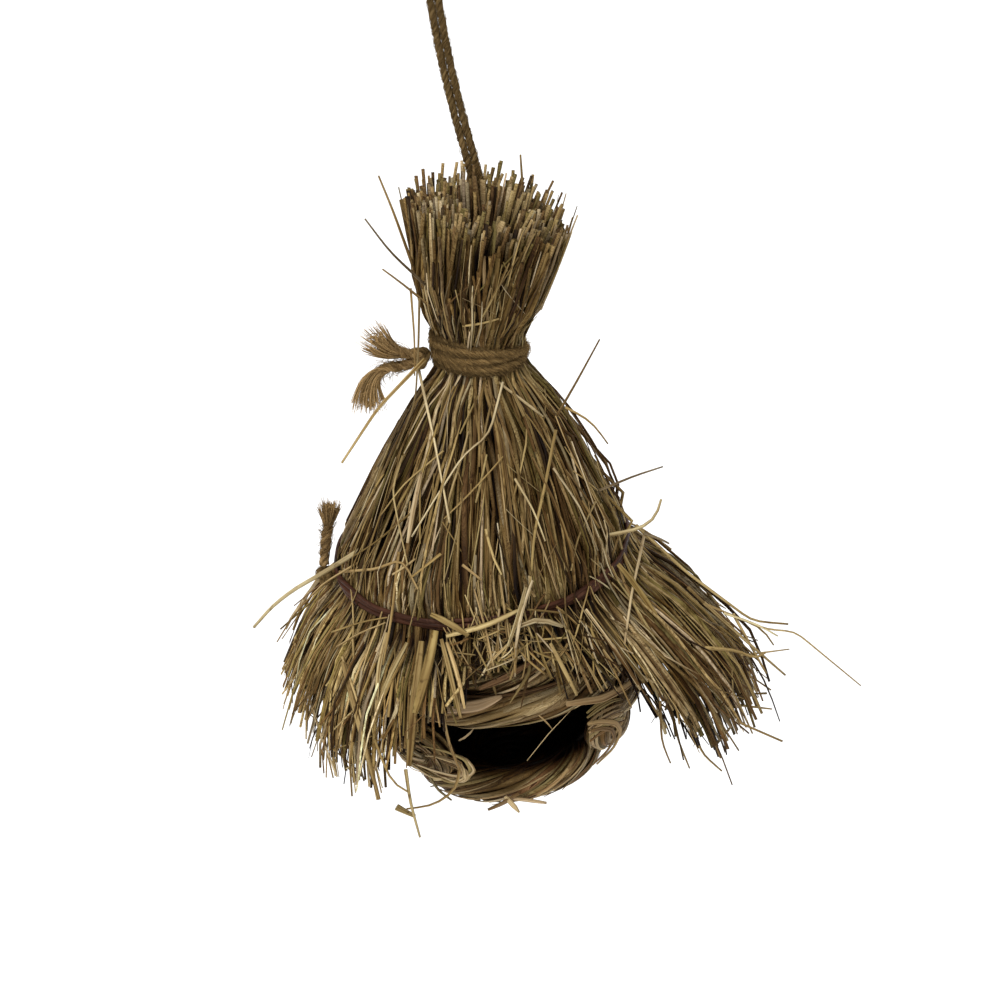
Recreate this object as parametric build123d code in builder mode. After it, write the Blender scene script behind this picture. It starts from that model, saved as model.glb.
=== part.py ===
from build123d import *
import math
import os

# Hanging thatched insect house: a bundle of straw tied at the neck, spread as a thatch over a
# hollow ball of coiled leaf rope with a slot entrance, and hung from a doubled jute cord.
os.makedirs("parts", exist_ok=True)

# ---------------------------------------------------------------- driving dimensions, millimetres
# The origin is the inside top of the hanging loop, +Z is up, and the entrance faces -Y.
NECK = Vector(1.0, 0.0, -202.0)  # centre of the tied neck
CORD_PIVOT = Vector(0.0, 0.0, -42.0)  # centre of the knot that the cord swings about
NEST_PIVOT = Vector(9.4, 6.0, -139.0)  # where the cord enters the top of the tuft

STRAND_D = 2.9  # one jute strand of the hanging cord
STRAND_SPACING = 3.04  # between the middles of the two strands
JOINT_GAP = 0.4  # left between bodies that turn on each other
KNOT_R = 7.0
TAIL_R = 3.0  # the cord where it runs down through the bundle
TAIL_GAP = 0.8  # the straw clears the cord by this much

OUTER_SHEAVES = 12
INNER_SHEAVES = 8
OUTER_FRONT = (8, 9)  # the sheaves over the entrance, which are cut short
INNER_FRONT = (5, 6)
LAYER_GAP = 0.6  # between the outer and the inner straw
SHEAF_SLIT_DEG = 0.4  # half of the slit between neighbouring sheaves
ARC_STEPS = 3  # straight facets across one sheaf

# heights above the neck, shift of the middle in X, outer radius, radius where the two layers
# meet, and inner radius, which is 0 where the straw packs round the cord
TUFT_TOP = (58.5, 11.8, 33.8, 19.4, 0.0)
TUFT_LEAN_DEG = 9.6
STRAW_PROFILE = (
    (34.0, 6.4, 28.4, 16.2, 0.0),
    (15.5, 3.0, 22.4, 12.8, 0.0),
    (11.0, 0.4, 16.4, 10.5, 0.0),
    (-12.0, 0.0, 16.4, 10.5, 0.0),
    (-16.5, -1.0, 23.0, 14.6, 0.0),
    (-30.0, -2.5, 33.2, 26.0, 18.8),
    (-50.0, -5.0, 44.2, 38.0, 31.6),
    (-78.0, -8.5, 58.5, 53.0, 47.0),
    (-96.0, -9.0, 60.4, 54.8, 49.0),
    (-108.0, -9.0, 76.0, 69.0, 62.0),
    (-135.0, -7.0, 92.0, 86.0, 80.0),
    (-185.0, -2.0, 105.0, 100.0, 95.0),
)
HEM_Z = -163.0  # mean height of the rim below the neck
HEM_SLOPE = -0.115  # the rim hangs lower towards +X
HEM_R = 98.0
OUTER_FRONT_HEM_Z = -112.0
INNER_HEM_RISE = 18.0  # the inner straw ends this much above the rim
INNER_FRONT_HEM_Z = -104.0

BINDING_NAMES = ("binding_turn_upper", "binding_turn_middle", "binding_turn_lower")
BINDING_R = 18.9
BINDING_D = 4.0
BINDING_PITCH = 4.2
BINDING_TILT_DEG = 8.0
BINDING_KNOT_R = 4.2
BINDING_END_D = 5.0

BAND_MIDDLE = NECK + Vector(-9.0, 0.0, -87.0)
BAND_R = 62.2
BAND_TILT_DEG = 5.5
CANE_D = 1.5
CANE_PITCH = 1.7
CANE_NAMES = ("band_cane_upper", "band_cane_middle", "band_cane_lower")
TIE_KNOT_R = 3.8
TIE_END_D = 4.6

BALL = NECK + Vector(-5.5, 0.0, -153.0)
ROW_R = 50.3  # from the ball's centre to the middle of the widest rope
FLATTEN = 0.855  # the ball's height over its width
ROPE_R = 7.6
ROW_STEP_DEG = 20.5
TOP_ROW_DEG = 14.3  # polar angle of the top row, before the ball is flattened
ROW_NAMES = (
    "rope_crown",
    "rope_shoulder",
    "rope_brow",
    "rope_upper_lip",
    "rope_side_upper",
    "rope_side_lower",
    "rope_lower_lip",
    "rope_base_ring",
)
OPEN_ROWS = ("rope_side_upper", "rope_side_lower")  # these two stop beside the entrance
ENTRANCE_AZIMUTH_DEG = -85.0
FOLD_DEG = 54.0  # each fold stands this far round from the middle of the entrance
SEAM_R = 54.1
SEAM_D = 2.0
BUTTON_RING_R = 6.0
BUTTON_ROPE_R = 5.5
BUTTON_DROP = 42.0  # below the ball's centre
ANCHOR_R = 12.0
ANCHOR_RISE = 26.0  # above the ball's centre

STRAY_D = 1.6


# ---------------------------------------------------------------- helpers
def from_neck(*points):
    """Points given from the centre of the tied neck."""
    return [NECK + Vector(*point) for point in points]


def save(piece, name):
    """Label a finished piece and write it under its node's name."""
    piece.part.label = name
    export_step(piece.part, f"parts/{name}.step")


def corner_radii(points):
    """The largest tangent arc that fits at each corner of a cord's route."""
    radii = []
    for before, corner, after in zip(points, points[1:], points[2:]):
        arriving = corner - before
        leaving = after - corner
        half_turn = math.radians(arriving.get_angle(leaving)) / 2
        radii.append(0.45 * min(arriving.length, leaving.length) / math.tan(half_turn))
    return radii


def add_tube(points, diameter):
    """Sweep a round tube along straight runs joined by tangent arcs. Gives its path."""
    with BuildLine() as path:
        if len(points) > 2:
            FilletPolyline(*points, radius=corner_radii(points))
        else:
            Line(*points)
    wire = path.wires()[0]
    with BuildSketch(Plane(origin=wire @ 0, z_dir=wire % 0)) as section:
        Circle(diameter / 2)
    sweep(section.sketch, path=wire)
    return wire


def cord(name, points, diameter):
    """One cord in a node of its own, with its length, volume and radii printed."""
    with BuildPart() as piece:
        wire = add_tube(points, diameter)
    save(piece, name)
    drawn = math.pi * diameter**2 / 4 * wire.length
    radii = [round(radius, 1) for radius in corner_radii(points)]
    print(f"{name}: length {wire.length:.1f}, volume {piece.part.volume:.0f}/{drawn:.0f}, radii {radii}")


def add_ring(middle, normal, ring_r, section_r, from_deg=0.0, arc_deg=360.0):
    """Turn a round section about a normal, all the way round or from one azimuth to another."""
    flat = Plane(origin=middle, z_dir=normal)
    outward = flat.x_dir.rotate(Axis((0, 0, 0), flat.z_dir), from_deg)
    with BuildSketch(Plane(origin=middle, x_dir=outward, z_dir=outward.cross(flat.z_dir))) as section:
        with Locations((ring_r, 0)):
            Circle(section_r)
    revolve(section.sketch, axis=Axis(middle, flat.z_dir), revolution_arc=arc_deg)


def ball(name, middle, radius):
    with BuildPart() as piece:
        with Locations(middle):
            Sphere(radius)
    save(piece, name)


def polar(radius, azimuth_deg):
    azimuth = math.radians(azimuth_deg)
    return (radius * math.cos(azimuth), radius * math.sin(azimuth))


# ---------------------------------------------------------------- hanging cord and its knots
def hang_loop():
    """One strand from the knot, up over the hook and back to the knot."""
    right_side = [
        (2.0, -34.7),
        (4.4, -25.0),
        (8.6, -15.2),
        (10.4, -4.9),
        (4.3, STRAND_D / 2),
    ]
    route = [Vector(x, 0, z) for x, z in right_side]
    route += [Vector(-x, 0, z) for x, z in reversed(right_side)]
    cord("hang_loop", route, STRAND_D)


def cord_legs():
    """Two strands side by side from the knot down to the tuft, bending as the cord straightens."""
    middle = [
        (0.1, 0.0, -49.45),
        (0.65, 0.5, -67.0),
        (2.1, 1.4, -86.0),
        (4.2, 2.7, -104.0),
        (6.65, 4.2, -121.0),
        (8.85, 5.65, -135.6),
    ]
    for name, side in (("cord_leg_left", -1), ("cord_leg_right", 1)):
        shift = Vector(side * STRAND_SPACING / 2, 0, 0)
        cord(name, [Vector(*point) + shift for point in middle], STRAND_D)


def tail_route():
    """The cord inside the bundle, from the pivot down to the anchor knot, from the neck's centre."""
    knot_top = BALL + Vector(0, 0, ANCHOR_RISE + ANCHOR_R) - NECK
    return [
        NEST_PIVOT - NECK,
        Vector(4.9, 3.5, 36.0),
        Vector(1.9, 1.3, 10.0),
        Vector(0.2, 0.2, -20.0),
        Vector(-1.2, 0.0, -60.0),
        knot_top,
    ]


def cord_tail():
    """The tail has a round top, and a knot under the ball's crown holds it."""
    with BuildPart() as piece:
        add_tube(from_neck(*tail_route()), 2 * TAIL_R)
        with Locations(NEST_PIVOT):
            Sphere(TAIL_R)
    save(piece, "cord_tail")
    ball("anchor_knot", BALL + Vector(0, 0, ANCHOR_RISE), ANCHOR_R)


def tail_at(height):
    """Where the tail's axis is at a height above the neck, from the neck's centre."""
    for upper, lower in zip(tail_route(), tail_route()[1:]):
        if lower.Z <= height <= upper.Z:
            part = (upper.Z - height) / (upper.Z - lower.Z)
            return (upper.X + (lower.X - upper.X) * part, upper.Y + (lower.Y - upper.Y) * part)
    raise ValueError("height outside the tail")


# ---------------------------------------------------------------- straw
def straw_station(height):
    """The straw's profile at any height below the tuft's top, by straight lines between stations."""
    for upper, lower in zip(STRAW_PROFILE, STRAW_PROFILE[1:]):
        if lower[0] <= height <= upper[0]:
            part = (upper[0] - height) / (upper[0] - lower[0])
            return tuple(a + (b - a) * part for a, b in zip(upper, lower))
    raise ValueError("height outside the straw")


def sheaf_section(station, tilt_deg, inner_layer, start_deg, end_deg):
    """One sheaf's section at a station."""
    height, shift, outer_r, meet_r, inner_r = station
    if inner_layer:
        far_r = meet_r - LAYER_GAP / 2
        near_r = inner_r or TAIL_R + TAIL_GAP
    else:
        far_r = outer_r
        near_r = meet_r + LAYER_GAP / 2
    near_middle = (0.0, 0.0)
    if inner_layer and not inner_r:
        tail_x, tail_y = tail_at(height)
        near_middle = (tail_x - shift, tail_y)
    angles = [start_deg + (end_deg - start_deg) * step / ARC_STEPS for step in range(ARC_STEPS + 1)]
    far_side = [polar(far_r, angle) for angle in angles]
    near_side = []
    for angle in reversed(angles):
        x, y = polar(near_r, angle)
        near_side.append((near_middle[0] + x, near_middle[1] + y))
    tilt = math.radians(tilt_deg)
    level = Plane(
        origin=NECK + Vector(shift, 0, height),
        x_dir=(math.cos(tilt), 0, -math.sin(tilt)),
        z_dir=(math.sin(tilt), 0, math.cos(tilt)),
    )
    with BuildSketch(level) as section:
        with BuildLine():
            Polyline(*far_side, *near_side, close=True)
        make_face()
    return section.sketch


def sheaf(name, inner_layer, start_deg, end_deg, hem_z):
    """A sheaf of straw from the tuft's top, through the neck, out to its own length of rim."""
    sections = [sheaf_section(TUFT_TOP, TUFT_LEAN_DEG, inner_layer, start_deg, end_deg)]
    for station in [*STRAW_PROFILE, straw_station(hem_z)]:
        if station[0] >= hem_z:
            sections.append(sheaf_section(station, 0, inner_layer, start_deg, end_deg))
    with BuildPart() as piece:
        loft(sections, ruled=True)
    save(piece, name)


def straw():
    for layer, count, front, front_hem, rise in (
        ("outer", OUTER_SHEAVES, OUTER_FRONT, OUTER_FRONT_HEM_Z, 0.0),
        ("inner", INNER_SHEAVES, INNER_FRONT, INNER_FRONT_HEM_Z, INNER_HEM_RISE),
    ):
        for index in range(count):
            start = 360 * index / count
            end = 360 * (index + 1) / count
            hem = HEM_Z + rise + HEM_SLOPE * polar(HEM_R, (start + end) / 2)[0]
            if index in front:
                hem = front_hem
            sheaf(
                f"straw_{layer}_{index + 1:02d}",
                layer == "inner",
                start + SHEAF_SLIT_DEG,
                end - SHEAF_SLIT_DEG,
                hem,
            )


# ---------------------------------------------------------------- jute binding and cane band
def binding():
    """Turns of jute round the neck, a knot at the left and the two loose ends."""
    tilt = math.radians(BINDING_TILT_DEG)
    normal = Vector(math.sin(tilt), 0, math.cos(tilt))
    for name, turn in zip(BINDING_NAMES, (1, 0, -1)):
        with BuildPart() as piece:
            add_ring(NECK + Vector(0, 0, turn * BINDING_PITCH), normal, BINDING_R, BINDING_D / 2)
        save(piece, name)
    reach = BINDING_R + BINDING_D / 2 + BINDING_KNOT_R + 0.1
    knot_x, knot_y = polar(reach, 195)
    knot_middle = NECK + Vector(knot_x, knot_y, 2.5)
    ball("binding_knot", knot_middle, BINDING_KNOT_R)
    cord(
        "binding_end_upper",
        from_neck((-28.9, -9.4, 5.6), (-34.2, -11.8, 8.2), (-38.6, -13.8, 11.8), (-41.8, -15.4, 16.4)),
        BINDING_END_D,
    )
    cord(
        "binding_end_lower",
        from_neck(
            (-29.4, -9.6, 0.2),
            (-36.2, -12.0, 2.2),
            (-42.8, -14.2, 0.4),
            (-46.4, -16.0, -5.4),
            (-47.0, -17.2, -12.0),
        ),
        BINDING_END_D,
    )


def cane_band():
    """Three thin canes lying together round the straw, tied at the left with jute."""
    tilt = math.radians(BAND_TILT_DEG)
    normal = Vector(0, -math.sin(tilt), math.cos(tilt))
    for name, place in zip(CANE_NAMES, (1, 0, -1)):
        with BuildPart() as piece:
            add_ring(BAND_MIDDLE + normal * place * CANE_PITCH, normal, BAND_R, CANE_D / 2)
        save(piece, name)
    reach = BAND_R + CANE_D / 2 + TIE_KNOT_R + 0.1
    knot_x, knot_y = polar(reach, 188)
    ball("tie_knot", BAND_MIDDLE + Vector(knot_x, knot_y, -1.0), TIE_KNOT_R)
    cord(
        "tie_end",
        from_neck((-75.4, -9.2, -83.4), (-74.0, -9.0, -74.6), (-71.2, -8.2, -66.0), (-69.6, -7.0, -57.4)),
        TIE_END_D,
    )


# ---------------------------------------------------------------- ball of leaf rope
def row_angle(index):
    return TOP_ROW_DEG + ROW_STEP_DEG * index


def open_arc():
    """Where the open rows start, and how far round the back they run."""
    return ENTRANCE_AZIMUTH_DEG + FOLD_DEG, 360 - 2 * FOLD_DEG


def ring_place(polar_deg, distance):
    """Radius and height of a ring on the flattened ball, from the ball's centre."""
    angle = math.radians(polar_deg)
    return distance * math.sin(angle), distance * FLATTEN * math.cos(angle)


def ball_ring(polar_deg, distance, section_r, is_open):
    """A ring of rope on the ball, at a polar angle and a distance from the ball's centre."""
    ring_r, height = ring_place(polar_deg, distance)
    start, arc = open_arc() if is_open else (0.0, 360.0)
    add_ring(BALL + Vector(0, 0, height), Vector(0, 0, 1), ring_r, section_r, start, arc)


def rope_rows():
    for index, name in enumerate(ROW_NAMES):
        with BuildPart() as piece:
            ball_ring(row_angle(index), ROW_R, ROPE_R, name in OPEN_ROWS)
        save(piece, name)
    with BuildPart() as piece:
        add_ring(BALL - Vector(0, 0, BUTTON_DROP), Vector(0, 0, 1), BUTTON_RING_R, BUTTON_ROPE_R)
    save(piece, "rope_base_button")


def entrance_folds():
    """The rope turns back on itself at each side of the entrance."""
    upper_r, upper_height = ring_place(row_angle(ROW_NAMES.index(OPEN_ROWS[0])), ROW_R)
    lower_r, lower_height = ring_place(row_angle(ROW_NAMES.index(OPEN_ROWS[1])), ROW_R)
    half_gap = math.hypot(lower_r - upper_r, lower_height - upper_height) / 2
    for name, side in (("rope_fold_right", -1), ("rope_fold_left", 1)):
        around = polar(1.0, ENTRANCE_AZIMUTH_DEG - side * FOLD_DEG)
        upper = BALL + Vector(upper_r * around[0], upper_r * around[1], upper_height)
        lower = BALL + Vector(lower_r * around[0], lower_r * around[1], lower_height)
        middle = (upper + lower) / 2
        downward = (lower - upper).normalized()
        sideways = Vector(around[1], -around[0], 0)
        with BuildPart() as piece:
            with BuildSketch(Plane(origin=middle, x_dir=downward, z_dir=sideways)):
                with Locations((half_gap, 0)):
                    Circle(ROPE_R)
            revolve(axis=Axis(middle, downward.cross(sideways) * -side), revolution_arc=180)
        save(piece, name)


def row_seams():
    """Thin lacing that lies in the grooves between the rows, outside."""
    with BuildPart() as piece:
        for index in range(len(ROW_NAMES) - 1):
            beside_entrance = ROW_NAMES[index] in OPEN_ROWS or ROW_NAMES[index + 1] in OPEN_ROWS
            ball_ring(row_angle(index) + ROW_STEP_DEG / 2, SEAM_R, SEAM_D / 2, beside_entrance)
    save(piece, "row_seams")


# ---------------------------------------------------------------- stray stalks
STRAYS = (
    ((-22.5, -15.0, 38.0), (-29.5, -24.0, 10.5), (-59.9, -34.0, -28.0)),
    ((30.5, -16.0, -27.0), (49.5, -10.0, 2.0)),
    ((51.0, -18.0, -60.0), (60.0, -10.0, -59.3), (70.2, -4.0, -60.0)),
    ((52.5, -34.0, -73.5), (61.5, -34.0, -71.0), (66.5, -34.0, -63.6)),
    ((79.0, -34.0, -113.0), (104.8, -28.0, -128.9), (118.0, -24.0, -132.4), (144.7, -20.0, -165.6)),
    ((-76.0, -26.0, -79.0), (-89.4, -28.0, -84.0), (-107.1, -26.0, -98.9)),
    ((-51.5, -84.0, -146.0), (-48.6, -84.0, -173.6)),
    ((-25.0, -4.0, 46.0), (-28.0, -4.0, 67.4), (-31.0, 0.0, 79.4)),
    ((25.2, 12.0, 58.5), (26.6, 12.0, 75.7)),
    ((93.0, -24.0, -134.0), (114.9, -24.0, -148.2)),
    ((34.5, -13.0, -25.2), (41.7, -10.0, -32.5), (48.2, -8.0, -44.5)),
)


def stray_stalks():
    """Stalks that have worked loose and stand clear of the bundle."""
    with BuildPart() as piece:
        for stalk in STRAYS:
            add_tube(from_neck(*stalk), STRAY_D)
    save(piece, "stray_stalks")


hang_loop()
ball("loop_knot", CORD_PIVOT, KNOT_R)
cord_legs()
cord_tail()
straw()
binding()
cane_band()
rope_rows()
entrance_folds()
row_seams()
stray_stalks()
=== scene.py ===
"""Looks of the hanging thatched insect house: stalks, leaf rope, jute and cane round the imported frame."""

import bpy
import math
import random
import numpy as np
from mathutils import Matrix, Vector


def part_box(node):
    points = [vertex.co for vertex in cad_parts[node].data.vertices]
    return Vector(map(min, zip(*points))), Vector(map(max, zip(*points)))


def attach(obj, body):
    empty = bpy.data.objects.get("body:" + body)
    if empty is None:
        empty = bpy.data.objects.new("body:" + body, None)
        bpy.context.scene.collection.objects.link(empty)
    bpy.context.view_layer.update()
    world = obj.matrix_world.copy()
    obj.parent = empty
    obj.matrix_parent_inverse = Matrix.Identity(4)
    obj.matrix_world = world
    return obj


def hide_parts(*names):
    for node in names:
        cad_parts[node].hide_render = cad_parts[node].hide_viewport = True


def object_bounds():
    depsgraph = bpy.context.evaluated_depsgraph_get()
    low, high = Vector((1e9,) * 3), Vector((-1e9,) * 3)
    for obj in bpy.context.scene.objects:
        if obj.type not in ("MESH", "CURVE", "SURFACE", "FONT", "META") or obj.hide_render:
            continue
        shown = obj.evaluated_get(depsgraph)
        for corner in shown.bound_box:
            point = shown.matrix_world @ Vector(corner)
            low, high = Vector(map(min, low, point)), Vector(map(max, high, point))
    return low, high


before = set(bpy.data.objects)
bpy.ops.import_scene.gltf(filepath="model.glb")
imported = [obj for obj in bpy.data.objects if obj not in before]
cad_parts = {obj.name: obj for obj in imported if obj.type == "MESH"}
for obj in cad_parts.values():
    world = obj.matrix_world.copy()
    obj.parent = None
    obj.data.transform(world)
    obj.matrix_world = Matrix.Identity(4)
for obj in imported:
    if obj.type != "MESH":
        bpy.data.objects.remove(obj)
cad_low, cad_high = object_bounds()

MM = 0.001
TURN = 2 * math.pi


# ---- places, from the frame, in millimetres
def box_middle(node):
    low, high = np.array(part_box(node))
    return (low + high) / 2 / MM


def half_size(node):
    """Half of a CAD node's largest side."""
    low, high = np.array(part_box(node))
    return (high - low).max() / 2 / MM


NECK = box_middle("binding_turn_middle")
BAND = box_middle("band_cane_middle") - NECK
CROWN_RISE = 41.67  # the rope's top ring above the middle of the ball
BALL = box_middle("rope_crown") - (0, 0, CROWN_RISE)


# ---- camera
def add_object(name, data):
    thing = bpy.data.objects.new(name, data)
    bpy.context.scene.collection.objects.link(thing)
    return thing


def make_camera():
    """Looks down at the house from the front, rolled a little."""
    elevation, roll = math.radians(24), math.radians(-7)
    distance = 1.0
    target = Vector(NECK * MM) + Vector((0.00105, 0, -0.0677))
    forward = Vector((0, math.cos(elevation), -math.sin(elevation)))
    level_right = Vector((1, 0, 0))
    level_up = level_right.cross(forward)
    right = level_right * math.cos(roll) + level_up * math.sin(roll)
    up = level_up * math.cos(roll) - level_right * math.sin(roll)
    camera = add_object("camera", bpy.data.cameras.new("camera"))
    turned_to = Matrix((right, up, -forward)).transposed().to_4x4()
    camera.matrix_world = Matrix.Translation(target - forward * distance) @ turned_to
    camera.data.lens = 85.7
    camera.data.clip_start = 0.05
    camera.data.clip_end = 40
    bpy.context.scene.camera = camera


make_camera()


# ---- tubes and strips as one mesh
def unit(vectors):
    return vectors / (np.linalg.norm(vectors, axis=-1, keepdims=True) + 1e-9)


def around_loop(line):
    """The direction of a closed line at each of its points."""
    return unit(np.roll(line, -1, axis=0) - np.roll(line, 1, axis=0))


def travelled(line):
    """How far along a line each of its points is."""
    return np.concatenate([[0], np.cumsum(np.linalg.norm(np.diff(line, axis=0), axis=1))])


def resample(line, step, fewest=6):
    lengths = travelled(line)
    places = np.linspace(0, lengths[-1], max(fewest, int(lengths[-1] / step)))
    return np.stack([np.interp(places, lengths, line[:, axis]) for axis in range(3)], axis=1)


def bent_line(points, step=4.0):
    """Points close together along a line that bends softly at each given point."""
    line = resample(np.array(points, float), step, 4)
    line[1:-1] = line[1:-1] * 0.5 + (line[:-2] + line[2:]) * 0.25
    return line


def circle(angle, radius=1.0, height=0.0):
    """Points round the Z axis."""
    return np.c_[radius * np.cos(angle), radius * np.sin(angle), angle * 0 + height]


def turned(first, second, angle):
    """The direction first, turned towards second by an angle at each point."""
    return first * np.cos(angle)[:, None] + second * np.sin(angle)[:, None]


class Weave:
    """Collects tubes and flat strips into one mesh, each with its tint and its own strip of UVs."""

    def __init__(self):
        self.points, self.tints, self.corners, self.sizes, self.lay, self.strip = ([] for _ in range(6))
        self.count = self.tubes = 0

    def polygons(self, corners, lay, strip):
        """Add polygons with the same number of corners: their points and both sets of UVs."""
        self.corners.append(corners.ravel())
        self.sizes.append(np.full(len(corners), corners.shape[1]))
        self.lay.append(lay.reshape(-1, 2))
        self.strip.append(np.c_[np.full(corners.size, self.tubes), strip.reshape(-1, 2)])

    def tube(self, path, wide, thick=None, tint=(0.4, 0.3, 0.2), sides=6, facing=(0, 0, 1), hollow=False,
             fold=0.0, roll=0.0, ridges=0.0, closed=False, shade=None):
        """A tube along path. wide and thick are half its section, thick along facing turned by roll."""
        path = np.asarray(path, float)

        def each(value, *shape):
            return np.broadcast_to(np.asarray(value, float), (len(path), *shape))

        wide, thick, roll = each(wide), each(wide if thick is None else thick), each(roll)
        tint, facing = each(tint, 3), each(facing, 3)
        ahead = around_loop(path) if closed else unit(np.gradient(path, axis=0))
        out = unit(facing - ahead * (facing * ahead).sum(axis=1)[:, None])
        side = np.cross(ahead, out)
        out, side = turned(out, side, roll), turned(side, -out, roll)
        turn = np.arange(sides) * TURN / sides
        across = wide[:, None] * np.cos(turn)
        outward = thick[:, None] * np.sin(turn) + fold * wide[:, None] * (np.abs(np.cos(turn)) - 0.5)
        swell = 1 + ridges * np.cos(turn * 3 + self.tubes * 1.7)
        rings = side[:, None] * (across * swell)[..., None] + out[:, None] * (outward * swell)[..., None]
        rings += path[:, None]
        shades = tint[:, None].repeat(sides, axis=1)
        along = travelled(path) * MM
        if hollow:
            tip = path[0]
            rim = tip + (rings[0] - tip) * 0.6
            rings = np.concatenate([[rim + ahead[0] * 1.6], [rim], rings])
            # painted shade: the inside of the hollow end is painted nearly black and its rim half as bright
            shades = np.concatenate([[shades[0] * 0.06], [shades[0] * 0.5], shades])
            along = np.concatenate([[along[0], along[0]], along])
        # painted shade and light: each point's colour is scaled by the shade function, and the darks are made
        # warmer
        if shade is not None:
            light = shade(rings)[..., None]
            shades = shades * np.minimum(light, 1) ** (1, 1.22, 1.7) * np.maximum(light, 1)
        rows = len(rings)
        row = np.arange(rows if closed else rows - 1)[:, None]
        here = np.arange(sides)[None, :]
        beside = (here + 1) % sides
        below = (row + 1) % rows
        corners = np.stack([row * sides + here, below * sides + here, below * sides + beside,
                            row * sides + beside], axis=-1).reshape(-1, 4) + self.count
        left, right = here / sides + row * 0, (here + 1) / sides + row * 0

        def lattice(top, bottom):
            top, bottom = top + here * 0, bottom + here * 0
            return np.stack([left, top, left, bottom, right, bottom, right, top], axis=-1)

        ahead_of = np.append(along, along[-1] + 0.002)
        self.polygons(corners, lattice(ahead_of[row], ahead_of[row + 1]), lattice(row / rows, (row + 1) / rows))
        if not closed:
            ring = np.arange(sides)
            for order, first, place in ((ring, 0, 0.0), (ring[::-1], rows - 1, 1 - 1 / rows)):
                lay = np.c_[order / sides, np.full(sides, along[first])]
                strip = np.c_[order / sides, place + (order % 2) / rows]
                self.polygons((self.count + first * sides + order)[None], lay, strip)
        self.points.append(rings.reshape(-1, 3))
        self.tints.append(shades.reshape(-1, 3))
        self.count += rows * sides
        self.tubes += 1

    def build(self, name, material, *replaced, body="nest"):
        """Make the mesh object, put it on its body and let it stand for its CAD nodes."""
        def fill(collection, key, values, kind=np.float32):
            collection.foreach_set(key, np.ravel(values).astype(kind))

        points = np.concatenate(self.points) * MM
        corners = np.concatenate(self.corners)
        sizes = np.concatenate(self.sizes)
        mesh = bpy.data.meshes.new(name)
        mesh.vertices.add(len(points))
        fill(mesh.vertices, "co", points)
        mesh.loops.add(len(corners))
        fill(mesh.loops, "vertex_index", corners, np.int32)
        mesh.polygons.add(len(sizes))
        fill(mesh.polygons, "loop_start", np.concatenate([[0], np.cumsum(sizes)[:-1]]), np.int32)
        fill(mesh.polygons, "use_smooth", sizes == 4, bool)
        mesh.update(calc_edges=True)
        tints = np.clip(np.concatenate(self.tints), 0.002, 0.95)
        colours = mesh.attributes.new("tint", "FLOAT_COLOR", "POINT")
        fill(colours.data, "color", np.c_[tints, np.ones(len(tints))])
        fill(mesh.uv_layers.new(name="Lay").data, "uv", np.concatenate(self.lay))
        # the layer for baking gives each tube a cell of its own
        tube, around, down = np.concatenate(self.strip).T
        rows = max(1, round(math.sqrt(self.tubes / 24)))
        columns = math.ceil(self.tubes / rows)
        around = (tube % columns + 0.12 + 0.76 * around) / columns
        down = (tube // columns + 0.02 + 0.96 * down) / rows
        fill(mesh.uv_layers.new(name="OFBake").data, "uv", np.c_[around, down])
        mesh.materials.append(material)
        mesh.validate()
        piece = add_object(name, mesh)
        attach(piece, body)
        if replaced:
            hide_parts(*replaced)
        return piece


def start(seed):
    """The random numbers and the empty mesh of a new piece."""
    return random.Random(seed), Weave()


# ---- materials
class Nodes:
    """A short way to write a node tree. An input is a number, a colour or another node's socket."""

    def __init__(self, name):
        self.material = bpy.data.materials.new(name)
        self.material.use_nodes = True
        self.tree = self.material.node_tree
        self.shader = self.tree.nodes["Principled BSDF"]

    def join(self, socket, value):
        if isinstance(value, bpy.types.NodeSocket):
            self.tree.links.new(value, socket)
        else:
            socket.default_value = value

    def put(self, kind, output, inputs, **settings):
        """Add a node, give it its settings and inputs, and return one of its outputs."""
        node = self.tree.nodes.new("ShaderNode" + kind)
        for key, value in settings.items():
            setattr(node, key, value)
        for key, value in inputs.items():
            self.join(node.inputs[key], value)
        return node.outputs[output]

    def tint(self):
        return self.put("Attribute", "Color", {}, attribute_name="tint")

    def lay(self, across, along):
        """Coordinates that follow each stalk: across is per turn, along is per metre."""
        where = self.put("UVMap", "UV", {}, uv_map="Lay")
        scaled = self.put("VectorMath", 0, {0: where, 1: (across, along, 0)}, operation="MULTIPLY")
        apart = self.put("VectorMath", 0, {0: self.tint(), "Scale": 190.0}, operation="SCALE")
        return self.put("VectorMath", 0, {0: scaled, 1: apart}, operation="ADD")

    def noise(self, where, detail=3.0, roughness=0.55):
        inputs = {"Vector": where, "Scale": 1.0, "Detail": detail, "Roughness": roughness}
        return self.put("TexNoise", "Fac", inputs)

    def ramp(self, value, *stops):
        node = self.tree.nodes.new("ShaderNodeValToRGB")
        self.join(node.inputs["Fac"], value)
        elements = node.color_ramp.elements
        while len(elements) < len(stops):
            elements.new(0.5)
        for element, (place, colour) in zip(elements, stops):
            element.position = place
            element.color = (*colour, 1)
        return node.outputs["Color"]

    def mix(self, kind, factor, first, second):
        """Mix two colours; the second is a socket or three numbers."""
        if not isinstance(second, bpy.types.NodeSocket):
            second = (*second, 1)
        return self.put("Mix", 2, {0: factor, 6: first, 7: second}, data_type="RGBA", blend_type=kind)

    def finish(self, colour, roughness, height, strength, depth, specular):
        bump = self.put("Bump", "Normal", {"Height": height, "Strength": strength, "Distance": depth})
        for key, value in (("Base Color", colour), ("Roughness", roughness), ("Normal", bump),
                           ("Specular IOR Level", specular)):
            self.join(self.shader.inputs[key], value)
        return self.material


def grey(value):
    return (value, value, value)


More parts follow.
